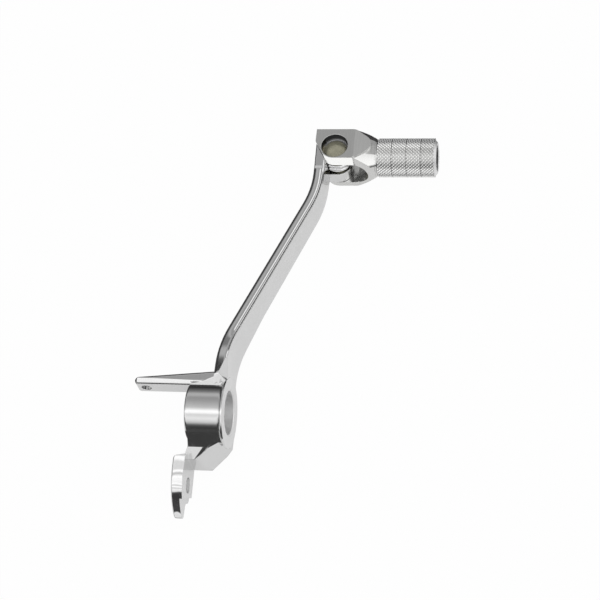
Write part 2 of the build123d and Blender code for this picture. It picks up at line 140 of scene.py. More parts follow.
def feed(tree, socket, value):
    """Link another socket to an input, or set the input to a constant."""
    if isinstance(value, bpy.types.NodeSocket):
        tree.links.new(value, socket)
    else:
        socket.default_value = value


def math_node(tree, operation, *values):
    """A sum on sockets or plain numbers, given back as a socket."""
    node = new_node(tree, "ShaderNodeMath", operation=operation)
    for socket, value in zip(node.inputs, values):
        feed(tree, socket, value)
    return node.outputs[0]


def vector_node(tree, operation, *values):
    """A sum on vectors, given back as a socket."""
    node = new_node(tree, "ShaderNodeVectorMath", operation=operation)
    for socket, value in zip(node.inputs, values):
        feed(tree, socket, value)
    return node.outputs["Value" if operation == "LENGTH" else "Vector"]


def split(tree, vector):
    """The three parts of a vector."""
    node = tree.nodes.new("ShaderNodeSeparateXYZ")
    tree.links.new(vector, node.inputs[0])
    return tuple(node.outputs)


def joined(tree, *parts):
    """A vector from three sockets or numbers."""
    node = tree.nodes.new("ShaderNodeCombineXYZ")
    for socket, value in zip(node.inputs, parts):
        feed(tree, socket, value)
    return node.outputs[0]


def size_of(tree, value):
    """A value without its sign."""
    return math_node(tree, "ABSOLUTE", value)


def minus(tree, value):
    """A value with its sign turned."""
    return math_node(tree, "MULTIPLY", value, -1.0)


def radius_of(tree, first, second):
    """The distance from an axis, from the two places across it."""
    return vector_node(tree, "LENGTH", joined(tree, 0.0, first, second))


def ramp_node(tree, source, stops):
    """A grey ramp from (place, value) pairs."""
    node = tree.nodes.new("ShaderNodeValToRGB")
    elements = node.color_ramp.elements
    for place, _ in stops[len(elements):]:
        elements.new(place)
    for element, (place, value) in zip(elements, sorted(stops)):
        element.position = place
        element.color = (value, value, value, 1.0)
    tree.links.new(source, node.inputs["Fac"])
    return node.outputs["Color"]


def step_up(tree, value, low, high):
    """A soft step from 0 to 1 between two values, or from 1 to 0 where the first is the larger."""
    node = new_node(
        tree, "ShaderNodeMapRange", interpolation_type="SMOOTHSTEP",
        From_Min=min(low, high), From_Max=max(low, high),
        To_Min=float(low > high), To_Max=float(low < high),
    )
    tree.links.new(value, node.inputs["Value"])
    return node.outputs["Result"]


def all_of(tree, *masks):
    """The product of masks."""
    total = masks[0]
    for mask in masks[1:]:
        total = math_node(tree, "MULTIPLY", total, mask)
    return total


def either(tree, first, second):
    """The larger of two masks."""
    return math_node(tree, "MAXIMUM", first, second)


def between(tree, value, low, high, soft):
    """A mask that is 1 between two values, with soft ends."""
    return all_of(tree, step_up(tree, value, low, low + soft), step_up(tree, value, high, high - soft))


def in_box(tree, spot, box):
    """A mask that is 1 in a box, which is given as (low, high, soft) along X, Y and Z."""
    return all_of(tree, *(between(tree, value, *span) for value, span in zip(spot, box)))


def mixed(tree, fac, first, second, kind="FLOAT"):
    """A blend of two values by a mask. The values are sockets or constants."""
    node = new_node(tree, "ShaderNodeMix", data_type=kind)
    slots, out = {"FLOAT": ((2, 3), 0), "VECTOR": ((4, 5), 1), "RGBA": ((6, 7), 2)}[kind]
    tree.links.new(fac, node.inputs[0])
    for slot, value in zip(slots, (first, second)):
        feed(tree, node.inputs[slot], value)
    return node.outputs[out]


def tint(tree, fac, first, second):
    """A colour between two, by a mask. A plain number stands for a grey."""
    first, second = ((c, c, c, 1.0) if isinstance(c, float) else c for c in (first, second))
    return mixed(tree, fac, first, second, "RGBA")


def in_mm(tree):
    """The place on the piece in millimetres, as three sockets."""
    place = tree.nodes.new("ShaderNodeTexCoord").outputs["Object"]
    return split(tree, vector_node(tree, "MULTIPLY", place, (1 / MM,) * 3))


def object_place(tree, scale, turn=(0, 0, 0)):
    """Object coordinates, scaled and turned for a pattern."""
    coordinates = tree.nodes.new("ShaderNodeTexCoord")
    mapping = new_node(tree, "ShaderNodeMapping", Scale=scale, Rotation=turn)
    tree.links.new(coordinates.outputs["Object"], mapping.inputs["Vector"])
    return mapping.outputs["Vector"]


def linked_in(name, data):
    """A new object in the scene, from its data."""
    piece = bpy.data.objects.new(name, data)
    bpy.context.scene.collection.objects.link(piece)
    return piece


# ---------------------------------------------------------------- knurl, made by geometry nodes

def knurl_tree():
    """Diamonds in staggered rows round the foot peg, cut off square at both ends of a band."""
    tree = bpy.data.node_groups.new("knurled_band", "GeometryNodeTree")
    sides = tree.interface
    for name, kind in (
        ("Start", "NodeSocketFloat"),
        ("Length", "NodeSocketFloat"),
        ("Rows", "NodeSocketInt"),
        ("Around", "NodeSocketInt"),
        ("Radius", "NodeSocketFloat"),
        ("Height", "NodeSocketFloat"),
        ("Crest", "NodeSocketFloat"),
        ("Axis Y", "NodeSocketFloat"),
        ("Finish", "NodeSocketMaterial"),
    ):
        sides.new_socket(name, in_out="INPUT", socket_type=kind)
    sides.new_socket("Geometry", in_out="OUTPUT", socket_type="NodeSocketGeometry")
    given = tree.nodes.new("NodeGroupInput").outputs
    link = tree.links.new

    index = tree.nodes.new("GeometryNodeInputIndex").outputs[0]
    row = math_node(tree, "FLOOR", math_node(tree, "DIVIDE", index, given["Around"]))
    column = math_node(tree, "MODULO", index, given["Around"])
    half = math_node(tree, "MULTIPLY", math_node(tree, "MODULO", row, 2.0), 0.5)
    share = math_node(tree, "DIVIDE", math_node(tree, "ADD", column, half), given["Around"])
    angle = math_node(tree, "MULTIPLY", share, 2 * math.pi)
    step = math_node(tree, "DIVIDE", given["Length"], math_node(tree, "SUBTRACT", given["Rows"], 1.0))
    along = math_node(tree, "MULTIPLY_ADD", row, step, given["Start"])
    sine, cosine = math_node(tree, "SINE", angle), math_node(tree, "COSINE", angle)
    across = math_node(tree, "MULTIPLY_ADD", sine, given["Radius"], given["Axis Y"])
    above = math_node(tree, "MULTIPLY", cosine, given["Radius"])
    points = tree.nodes.new("GeometryNodePoints")
    link(math_node(tree, "MULTIPLY", given["Rows"], given["Around"]), points.inputs["Count"])
    link(joined(tree, along, across, above), points.inputs["Position"])

    diamond = new_node(
        tree, "GeometryNodeMeshCone", fill_type="NGON", Vertices=4, Radius_Bottom=1.0, Depth=1.0,
    )
    link(given["Crest"], diamond.inputs["Radius Top"])
    turn = joined(tree, minus(tree, angle), 0.0, 0.0)
    wide = math_node(tree, "DIVIDE", given["Radius"], given["Around"])
    wide = math_node(tree, "MULTIPLY", wide, math.pi)
    spread = tree.nodes.new("GeometryNodeInstanceOnPoints")
    link(points.outputs[0], spread.inputs["Points"])
    link(diamond.outputs["Mesh"], spread.inputs["Instance"])
    link(turn, spread.inputs["Rotation"])
    link(joined(tree, step, wide, given["Height"]), spread.inputs["Scale"])
    real = tree.nodes.new("GeometryNodeRealizeInstances")
    link(spread.outputs[0], real.inputs[0])

    x, y, z = split(tree, tree.nodes.new("GeometryNodeInputPosition").outputs[0])
    end = math_node(tree, "ADD", given["Start"], given["Length"])
    kept = math_node(tree, "MINIMUM", math_node(tree, "MAXIMUM", x, given["Start"]), end)
    trimmed = tree.nodes.new("GeometryNodeSetPosition")
    link(real.outputs[0], trimmed.inputs["Geometry"])
    link(joined(tree, kept, y, z), trimmed.inputs["Position"])
    finish = tree.nodes.new("GeometryNodeSetMaterial")
    link(trimmed.outputs[0], finish.inputs["Geometry"])
    link(given["Finish"], finish.inputs["Material"])
    link(finish.outputs[0], tree.nodes.new("NodeGroupOutput").inputs["Geometry"])
    return tree


def plain_mesh(maker, name):
    """The evaluated mesh of an object as a new plain object. The object that made it is removed."""
    graph = bpy.context.evaluated_depsgraph_get()
    mesh = bpy.data.meshes.new_from_object(maker.evaluated_get(graph))
    bpy.data.objects.remove(maker)
    mesh.name = name
    return linked_in(name, mesh)


def knurled_band(tree, number, start, end, finish):
    """One band of knurl between two grooves."""
    maker = linked_in("knurl_maker", bpy.data.meshes.new("knurl_maker"))
    modifier = maker.modifiers.new("knurl", "NODES")
    modifier.node_group = tree
    values = {
        "Start": (HINGE_X + start) * MM,
        "Length": (end - start) * MM,
        "Rows": round((end - start) / KNURL_STEP) + 1,
        "Around": KNURL_AROUND,
        "Radius": (PEG_RADIUS - KNURL_SINK) * MM,
        "Height": (KNURL_HEIGHT + KNURL_SINK) * MM,
        "Crest": KNURL_CREST,
        "Axis Y": PEG_AXIS_Y * MM,
        "Finish": finish,
    }
    for item in tree.interface.items_tree:
        if item.in_out == "INPUT":
            modifier[item.identifier] = values[item.name]
    piece = plain_mesh(maker, f"knurl_band_{number}")
    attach(piece, "toe")


# ---------------------------------------------------------------- blade edge and spring

def blade_edge(finish):
    """The blade's outboard top edge between its bends: a straight strip with a round corner."""
    run = Vector((BLADE_TOE_X - BLADE_ROOT_X, BEND_TOE_Y - BEND_ROOT_Y, 0.0)).normalized()
    inward = Vector((-run.y, run.x, 0.0))
    radius = BLADE_EDGE_RADIUS
    section = [(EDGE_WIDTH, 0.0)]
    for step in range(EDGE_STEPS + 1):
        turn = math.pi / 2 * step / EDGE_STEPS
        section.append((radius - radius * math.sin(turn), radius * math.cos(turn) - radius))
    section += [(0.0, -EDGE_DEPTH), (EDGE_WIDTH, -EDGE_DEPTH)]
    base = Vector((BLADE_FACE_X, BEND_ROOT_Y, BLADE_TOP_Z + EDGE_PROUD))
    points = [
        (base + run * reach + inward * (depth - EDGE_PROUD) + Vector((0, 0, height))) * MM
        for reach in (EDGE_START, EDGE_END)
        for depth, height in section
    ]
    count = len(section)
    sides = [(k, k + count, (k + 1) % count + count, (k + 1) % count) for k in range(count)]
    caps = [tuple(range(count)), tuple(range(2 * count - 1, count - 1, -1))]
    mesh = bpy.data.meshes.new("blade_edge")
    mesh.from_pydata(points, [], sides + caps)
    for face in mesh.polygons[1:EDGE_STEPS + 1]:
        face.use_smooth = True
    for line in mesh.edges:
        first, second = line.vertices
        line.use_edge_sharp = (first < count) == (second < count)
    mesh.materials.append(finish)
    piece = linked_in("blade_edge", mesh)
    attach(piece, "arm")


def twisting_spring(node, finish):
    """The toe spring: a copy of its solid with its own finish, put in place of the solid, which is hidden."""
    piece = linked_in("toe_spring_wire", node.data.copy())
    piece.data.materials.clear()
    piece.data.materials.append(finish)
    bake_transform(piece)
    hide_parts("toe_spring")


# ---------------------------------------------------------------- shared parts of the finishes

# Scratches: their width is in cells of the pattern, and they show where the waves are over the gate
SCRATCH_WIDTH = 0.012
SCRATCH_GATE = 0.54

# Depth of the marks, and the radius that the edges of each piece look rounded to
MARK_DEPTH = 0.05
ARM_ROUNDING = 0.25
PEG_ROUNDING = 0.3
PIN_ROUNDING = 0.15


def rounded_edges_group():
    """Softly rounded edges: a normal that rolls over each edge."""
    tree = bpy.data.node_groups.new("rounded_edges", "ShaderNodeTree")
    tree.interface.new_socket("Radius", in_out="INPUT", socket_type="NodeSocketFloat")
    tree.interface.new_socket("Normal", in_out="OUTPUT", socket_type="NodeSocketVector")
    rolled = new_node(tree, "ShaderNodeBevel", samples=6)
    tree.links.new(tree.nodes.new("NodeGroupInput").outputs["Radius"], rolled.inputs["Radius"])
    tree.links.new(rolled.outputs[0], tree.nodes.new("NodeGroupOutput").inputs["Normal"])
    return tree


def hand_marks_group():
    """Marks of polishing and use: long fine lines, slow waves and a few short scratches."""
    tree = bpy.data.node_groups.new("hand_marks", "ShaderNodeTree")
    for name in ("Lines Place", "Waves Place"):
        tree.interface.new_socket(name, in_out="INPUT", socket_type="NodeSocketVector")
    for name in ("Lines", "Waves", "Scratches"):
        tree.interface.new_socket(name, in_out="OUTPUT", socket_type="NodeSocketFloat")
    given = tree.nodes.new("NodeGroupInput").outputs
    lines = new_node(tree, "ShaderNodeTexNoise", Scale=1.0, Detail=4.0, Roughness=0.6)
    tree.links.new(given["Lines Place"], lines.inputs["Vector"])
    waves = new_node(tree, "ShaderNodeTexNoise", Scale=1.0, Detail=2.0, Roughness=0.5)
    tree.links.new(given["Waves Place"], waves.inputs["Vector"])
    cracks = new_node(tree, "ShaderNodeTexVoronoi", feature="DISTANCE_TO_EDGE", Scale=1.6)
    tree.links.new(given["Waves Place"], cracks.inputs["Vector"])
    thin = math_node(tree, "LESS_THAN", cracks.outputs["Distance"], SCRATCH_WIDTH)
    gate = math_node(tree, "GREATER_THAN", waves.outputs["Fac"], SCRATCH_GATE)
    out = tree.nodes.new("NodeGroupOutput")
    tree.links.new(lines.outputs["Fac"], out.inputs["Lines"])
    tree.links.new(waves.outputs["Fac"], out.inputs["Waves"])
    tree.links.new(math_node(tree, "MULTIPLY", thin, gate), out.inputs["Scratches"])
    return tree


def group_node(tree, group):
    """A node that stands for a shared group."""
    node = tree.nodes.new("ShaderNodeGroup")
    node.node_tree = group
    return node


def hand_marks(tree, marks, lines_scale, waves_scale, turn=(0, 0, 0)):
    """The lines, waves and scratches of one finish, each at its own scale."""
    node = group_node(tree, marks)
    tree.links.new(object_place(tree, lines_scale, turn), node.inputs["Lines Place"])
    tree.links.new(object_place(tree, waves_scale), node.inputs["Waves Place"])
    return node.outputs["Lines"], node.outputs["Waves"], node.outputs["Scratches"]


def rounded(tree, edges, radius):
    """The normal with rounded edges."""
    node = group_node(tree, edges)
    node.inputs["Radius"].default_value = radius * MM
    return node.outputs["Normal"]


def metal(name, colour):
    """A metal material with its shader, ready for its own patterns."""
    material = bpy.data.materials.new(name)
    material.use_nodes = True
    tree = material.node_tree
    tree.nodes.clear()
    shader = new_node(tree, "ShaderNodeBsdfPrincipled", Metallic=1.0, Base_Color=(*colour, 1.0))
    out = tree.nodes.new("ShaderNodeOutputMaterial")
    tree.links.new(shader.outputs["BSDF"], out.inputs["Surface"])
    return material, tree, shader


def bumped(tree, height, normal, strength):
    """A normal with fine relief on top of another normal."""
    bump = new_node(tree, "ShaderNodeBump", Strength=strength, Distance=MARK_DEPTH * MM)
    tree.links.new(height, bump.inputs["Height"])
    tree.links.new(normal, bump.inputs["Normal"])
    return bump.outputs["Normal"]


def leant(tree, normal, mask, angle, side=0.0):
    """A normal that leans to an angle in degrees from the rear to the top, where a mask says so."""
    if isinstance(angle, bpy.types.NodeSocket):
        turn = math_node(tree, "MULTIPLY", angle, math.pi / 180)
        forward = minus(tree, math_node(tree, "COSINE", turn))
        up = math_node(tree, "SINE", turn)
    else:
        forward, up = -math.cos(math.radians(angle)), math.sin(math.radians(angle))
    aim = joined(tree, side, forward, up)
    return vector_node(tree, "NORMALIZE", mixed(tree, mask, normal, aim, "VECTOR"))


# ---------------------------------------------------------------- polished arm

# In all masks, pairs are where a soft step starts and ends, and triples are (low, high, soft). FACING is
# the normal's part to the top, SIDE its part to outboard, and LEVEL a height.

# Blade's top: places across it run from -1 inboard to 1 outboard, and a lean is the normal's part to inboard
EDGE_LEAN = 0.56
EDGE_LEAN_ACROSS = (0.45, -0.7)
LINE_LEAN = 0.47
LINE_ACROSS = (0.08, 0.5, 0.12)
ROOT_LEAN = 0.57
ROOT_FADE_Y = (32.0, 27.5)
ROOT_END_LEAN = 0.11
ROOT_END_Y = (20.5, 15.5)
ROOT_FLAT_LEAN = -0.2
ROOT_FLAT_Y = (18.5, 25.5, 3.0)
TOP_FACING = (0.75, 0.95)
TOP_START_X = (0.9, 1.5)
TOP_START_Y = (9.0, 11.0)
TOP_END_Y = (109.0, 105.0)
TOP_LEVEL = (7.0, 7.6)
CORNER_SLOPE = 118
CORNER_FACING = (0.58, 0.9, 0.08)
CORNER_SIDE = (0.2, 0.3)
CORNER_LEVEL = (6.5, 7.0)
CORNER_Y = (21.0, 106.0, 3.0)
SHOULDER_SLOPE = 71
SHOULDER_FACING = (0.6, 0.8)
SHOULDER_LEVEL = (8.6, 8.9)
SHOULDER_Y = (106.0, 107.8, 0.5)
SHOULDER_END_X = (35.6, 34.6)


def crowned_top(tree, spot, normal, waves):
    """The blade's top as it was dressed by hand.

    It is rounded down to its inboard edge, most of all at the root. A bright line runs along it, its
    outboard corner is dark, and a bright step parts it from the shoulder.
    """
    x, y, z = spot
    side, _, up = split(tree, normal)
    slant = (BLADE_TOE_X - BLADE_ROOT_X) / (BEND_TOE_Y - BEND_ROOT_Y)
    middle = math_node(tree, "MULTIPLY_ADD", y, slant, BLADE_ROOT_X - slant * BEND_ROOT_Y)
    middle = math_node(tree, "SMOOTH_MAX", middle, BLADE_ROOT_X, BEND_SOFT)
    middle = math_node(tree, "SMOOTH_MIN", middle, BLADE_TOE_X, BEND_SOFT)
    across = math_node(tree, "DIVIDE", math_node(tree, "SUBTRACT", x, middle), BLADE_HALF)

    edge_lean = math_node(tree, "MULTIPLY", step_up(tree, across, *EDGE_LEAN_ACROSS), EDGE_LEAN)
    line = math_node(tree, "MULTIPLY", between(tree, across, *LINE_ACROSS), LINE_LEAN)
    flat_spot = math_node(tree, "MULTIPLY", between(tree, y, *ROOT_FLAT_Y), waves)
    root_lean = math_node(tree, "MULTIPLY_ADD", step_up(tree, y, *ROOT_END_Y), ROOT_END_LEAN, ROOT_LEAN)
    root_lean = math_node(tree, "MULTIPLY_ADD", flat_spot, ROOT_FLAT_LEAN, root_lean)
    lean = math_node(tree, "SUBTRACT", edge_lean, line)
    lean = mixed(tree, step_up(tree, y, *ROOT_FADE_Y), lean, root_lean)
    top = all_of(
        tree, step_up(tree, up, *TOP_FACING), step_up(tree, z, *TOP_LEVEL),
        step_up(tree, y, *TOP_START_Y), step_up(tree, y, *TOP_END_Y), step_up(tree, x, *TOP_START_X),
    )
    lean = math_node(tree, "MULTIPLY", lean, minus(tree, top))
    normal = vector_node(tree, "ADD", normal, joined(tree, lean, 0.0, 0.0))
    normal = vector_node(tree, "NORMALIZE", normal)

    corner = all_of(
        tree, between(tree, up, *CORNER_FACING), step_up(tree, side, *CORNER_SIDE),
        step_up(tree, z, *CORNER_LEVEL), between(tree, y, *CORNER_Y),
    )
    shoulder = all_of(
        tree, step_up(tree, up, *SHOULDER_FACING), step_up(tree, z, *SHOULDER_LEVEL),
        between(tree, y, *SHOULDER_Y), step_up(tree, x, *SHOULDER_END_X),
    )
    return leant(tree, leant(tree, normal, corner, CORNER_SLOPE), shoulder, SHOULDER_SLOPE)


# Lug's rim: slopes at distances behind the pivot
RIM_SLOPES = [
    (18.0, 73), (21.0, 62), (24.0, 61), (25.8, 76), (27.6, 66), (29.4, 65), (30.4, 75), (31.2, 61),
    (32.0, 66), (32.6, 44), (33.2, 37), (38.2, 31), (39.0, 60),
]
RIM_SCALE = 45.0
RIM_SHIFT = -1.2
RIM_WAVES = 2.4
RIM_START_X = (-6.8, -7.1)
RIM_START_Y = (-17.9, -18.3)
RIM_SIDE = (0.6, 0.3)
RIM_FACING = (0.05, 0.35)


def dressed_lug(tree, spot, normal, waves):
    """The push-rod lug's rim as it was dressed by hand: a long slope, then a steeper one to the tail."""
    x, y, _ = spot
    side, _, up = split(tree, normal)
    behind = math_node(tree, "MULTIPLY_ADD", y, -1.0, RIM_SHIFT)
    reach = math_node(tree, "MULTIPLY_ADD", waves, RIM_WAVES, behind)
    stops = [(far / RIM_SCALE, angle / 90) for far, angle in RIM_SLOPES]
    slope = ramp_node(tree, math_node(tree, "DIVIDE", reach, RIM_SCALE), stops)
    rim = all_of(
        tree, step_up(tree, x, *RIM_START_X), step_up(tree, y, *RIM_START_Y),
        step_up(tree, size_of(tree, side), *RIM_SIDE), step_up(tree, up, *RIM_FACING),
    )
    return leant(tree, normal, rim, math_node(tree, "MULTIPLY", slope, 90.0))


# Web, and roots of the tab and the blade: boxes hold a triple for each of X, Y and Z
LEVEL_SIDE = (0.7, 0.4)
OFF_BOSS = (BOSS_RADIUS + 0.05, BOSS_RADIUS + 0.25)
WEB_SLOPE = 33
WEB_LEAN_OUT = 0.18
WALL_BOX = ((-9.8, 6.0, 0.3), (-15.0, -10.0, 0.4), (-2.5, 5.4, 0.5))
WALL_SIDE = (0.97, 0.9)
SWEEP_START = (-0.05, 0.1)
SWEEP_END = (0.3, -0.3)
SWEEP_WIDTH = 3.2
SWEEP_TAPER = -0.27
SWEEP_Y = (-18.0, -9.5, 0.4)
SWEEP_TOP_Z = (3.0, 1.0)
TAB_SLOPE = 63
TAB_TAPER = 0.026
TAB_REACH = (6.5, 10.8, 0.5)
TAB_ROOT_X = (-2.6, -3.6)
TAB_PAST_BOSS_X = (-7.8, -8.0)
TAB_LEVEL = (4.6, 5.0)
TAB_FACING = (0.72, 0.85)
TIP_X = (-28.3, -28.6)
TIP_SIDE = (-0.25, -0.4)
TIP_LEVEL = (4.4, 4.8)
ROOT_SLOPE = 61
ROOT_FRONT_Y = 11.9
ROOT_FRONT_SLANT = -0.5
ROOT_FRONT_SOFT = (0.3, -0.3)
ROOT_X = (-8.8, 5.5, 0.8)
ROOT_REAR_Y = (7.2, 7.6)
ROOT_LEVEL = (4.8, 5.3)
HEEL_BOX = ((1.4, 7.9, 0.5), (6.5, 13.0, 0.8), (2.0, 9.6, 0.6))
HEEL_SIDE = (0.98, 0.9)
HEEL_FACING = (0.1, 0.3)


def dressed_root(tree, spot, normal):
    """The web and the roots of the tab and the blade, where the hand polish changes the slopes."""
    x, y, z = spot
    side, _, up = split(tree, normal)
    level = step_up(tree, size_of(tree, side), *LEVEL_SIDE)
    off_boss = step_up(tree, radius_of(tree, y, z), *OFF_BOSS)

    # The wall under the boss, and the band beside the ridge that gets narrower to its end
    wall = all_of(tree, step_up(tree, size_of(tree, side), *WALL_SIDE), in_box(tree, spot, WALL_BOX))
    ahead = (Vector(RIDGE_END) - Vector(RIDGE_START)).normalized()
    from_x = math_node(tree, "SUBTRACT", x, RIDGE_START[0])
    from_y = math_node(tree, "SUBTRACT", y, RIDGE_START[1])
    along = math_node(tree, "MULTIPLY", from_y, ahead.y)
    along = math_node(tree, "MULTIPLY_ADD", from_x, ahead.x, along)
    aside = math_node(tree, "MULTIPLY", from_y, -ahead.x)
    aside = math_node(tree, "MULTIPLY_ADD", from_x, ahead.y, aside)
    width = math_node(tree, "MULTIPLY_ADD", along, SWEEP_TAPER, SWEEP_WIDTH)
    sweep = all_of(
        tree, level, step_up(tree, aside, *SWEEP_START),
        step_up(tree, math_node(tree, "SUBTRACT", aside, width), *SWEEP_END), between(tree, y, *SWEEP_Y),
        step_up(tree, z, *SWEEP_TOP_Z), off_boss,
    )
    normal = leant(tree, normal, either(tree, wall, sweep), WEB_SLOPE, WEB_LEAN_OUT)

    # The rear half of the tab's top, and the rounding of its tip
    tab_top = all_of(
        tree, step_up(tree, x, *TAB_ROOT_X), step_up(tree, z, *TAB_LEVEL),
        step_up(tree, up, *TAB_FACING),
        between(tree, math_node(tree, "MULTIPLY_ADD", x, TAB_TAPER, y), *TAB_REACH),
        either(tree, off_boss, step_up(tree, x, *TAB_PAST_BOSS_X)),
    )
    normal = leant(tree, normal, tab_top, TAB_SLOPE)
    tab_tip = all_of(
        tree, step_up(tree, x, *TIP_X), step_up(tree, side, *TIP_SIDE), step_up(tree, z, *TIP_LEVEL),
    )
    normal = leant(tree, normal, tab_tip, CORNER_SLOPE)

    # The light face between the tab and the blade, and the blade's heel
    from_front = math_node(tree, "SUBTRACT", y, ROOT_FRONT_Y)
    front = math_node(tree, "MULTIPLY_ADD", x, ROOT_FRONT_SLANT, from_front)
    light = all_of(
        tree, level, step_up(tree, z, *ROOT_LEVEL), step_up(tree, y, *ROOT_REAR_Y),
        step_up(tree, front, *ROOT_FRONT_SOFT), between(tree, x, *ROOT_X),
    )
    normal = leant(tree, normal, light, ROOT_SLOPE)
    heel = all_of(
        tree, in_box(tree, spot, HEEL_BOX), off_boss, step_up(tree, side, *HEEL_SIDE),
        step_up(tree, split(tree, normal)[2], *HEEL_FACING),
    )
    return leant(tree, normal, heel, ROOT_SLOPE)


# Dull walls of the pivot bore and the push-rod hole, and the turn of the polishing lines in degrees
BORE_WALL = (BORE_RADIUS + 0.45, BORE_RADIUS + 0.25)
BORE_END_X = (BOSS_HALF + 0.2, BOSS_HALF)
HOLE_WALL = (LUG_HOLE_RADIUS + 0.1, LUG_HOLE_RADIUS + 0.02)
HOLE_START_X = (-6.5, -7.0)
LINES_TURN = 20


def polished_alloy(edges, marks, name, rounding):
    """The arm: forged light alloy, polished by hand along its length, with dull bores."""
    material, tree, shader = metal(name, (0.71, 0.71, 0.71))
    spot = in_mm(tree)
    x, y, z = spot
    along_blade = (0, 0, math.radians(LINES_TURN))
    lines, waves, scratches = hand_marks(tree, marks, (1500, 70, 1500), (130, 90, 130), along_blade)

    bore = all_of(
        tree, step_up(tree, radius_of(tree, y, z), *BORE_WALL),
        step_up(tree, size_of(tree, x), *BORE_END_X),
    )
    hole_y = math_node(tree, "SUBTRACT", y, LUG_HOLE[0])
    hole_z = math_node(tree, "SUBTRACT", z, LUG_HOLE[1])
    hole = all_of(
        tree, step_up(tree, radius_of(tree, hole_y, hole_z), *HOLE_WALL),
        step_up(tree, x, *HOLE_START_X),
    )
    dull = either(tree, bore, hole)

    fac = math_node(tree, "MULTIPLY_ADD", waves, 0.5, math_node(tree, "MULTIPLY", lines, 0.5))
    tone = tint(tree, fac, (0.66, 0.66, 0.655, 1.0), (0.76, 0.76, 0.765, 1.0))
    tree.links.new(tint(tree, dull, tone, tint(tree, waves, 0.62, 0.98)), shader.inputs["Base Color"])
    rough = math_node(tree, "MULTIPLY_ADD", lines, 0.08, 0.09)
    rough = math_node(tree, "MULTIPLY_ADD", scratches, 0.12, rough)
    tree.links.new(mixed(tree, dull, rough, 0.5), shader.inputs["Roughness"])
    normal = crowned_top(tree, spot, rounded(tree, edges, rounding), waves)
    normal = dressed_root(tree, spot, dressed_lug(tree, spot, normal, waves))
    height = math_node(tree, "MULTIPLY_ADD", waves, 3.0, lines)
    tree.links.new(bumped(tree, height, normal, 0.12), shader.inputs["Normal"])
    return material


# ---------------------------------------------------------------- toe peg, pin and spring

# Cone: a turned slope and the milled slope in its place, and the turns where it is milled, in radians
MILLED_SLOPES = [
    (0, 0), (29, 4), (31, 36), (35, 38), (38, 62), (66, 66), (69, 79), (95, 80), (100, 88), (112, 88),
    (118, 125), (180, 180),
]
CONE_TURN = (0.0, 3.0, 0.02)
CONE_SOFT = 0.3

# Fork's rear side: where the normal points to the rear
EAR_SLOPE = 63
EAR_REAR = (-0.6, -0.75)
EAR_START_Z = (EAR_BOTTOM_Z, EAR_BOTTOM_Z + 0.3)

# Recess of the pin: the tone of its wall at levels, from the floor up, which paints the wall darker towards
# its rim as painted shade, and an olive tone low on its near side
RECESS_WALL = (RECESS_RADIUS + 0.12, RECESS_RADIUS + 0.04)
RECESS_Z = (RECESS_FLOOR_Z - 0.6, RECESS_RIM_Z, 0.1)
RECESS_SHADE_TONES = [(RECESS_FLOOR_Z, 0.45), (6.9, 0.14), (8.0, 0.03)]
RECESS_SCALE = 12.0
OLIVE_SIDE_Y = (HINGE_Y + 3.4, HINGE_Y + 1.4)
OLIVE_SIDE_Z = (8.0, 7.0)
OLIVE_SIDE_TONE = (0.44, 0.42, 0.33, 1.0)

# End of the foot peg, and its drilled hole, whose wall is painted almost black as painted shade
PEG_MOUTH_X = HINGE_X + PEG_END
PEG_END_X = (PEG_MOUTH_X - PEG_END_CHAMFER - 0.2, PEG_MOUTH_X - PEG_END_CHAMFER)
HOLE_SHADE_RADIUS = (PEG_BORE_RADIUS + 0.9, PEG_BORE_RADIUS + 0.75)
HOLE_SHADE_X = (PEG_MOUTH_X - PEG_BORE_REACH, PEG_MOUTH_X - 0.2, 0.3)

# Knurl, in painted light: flanks that face the light are painted bright as highlights, crests bright and the
# grooves below them dark as painted shade, and the far side of the peg is painted dark as painted shade
LIT_FLANK_FACING = (-0.5, 0.5)
CREST_RADIUS = (PEG_RADIUS, PEG_RADIUS + 0.8 * KNURL_HEIGHT)
LIT_Y = (3.4, 0.4)


def milled_sides(tree, spot, normal):
    """The fork's rear side and the cone as they were milled: a slope over an upright face."""
    x, _, z = spot
    _, forward, up = split(tree, normal)
    turn = math_node(tree, "ARCTAN2", up, minus(tree, forward))
    stops = [(turned / 180, milled / 180) for turned, milled in MILLED_SLOPES]
    slope = ramp_node(tree, math_node(tree, "DIVIDE", turn, math.pi), stops)
    cone = all_of(tree, between(tree, x, *CONE_RANGE, CONE_SOFT), between(tree, turn, *CONE_TURN))
    normal = leant(tree, normal, cone, math_node(tree, "MULTIPLY", slope, 180.0))
    ear = all_of(
        tree, between(tree, x, EAR_START_X, CONE_RANGE[0] + CONE_SOFT, CONE_SOFT),
        step_up(tree, forward, *EAR_REAR), step_up(tree, z, *EAR_START_Z),
    )
    return leant(tree, normal, ear, EAR_SLOPE)


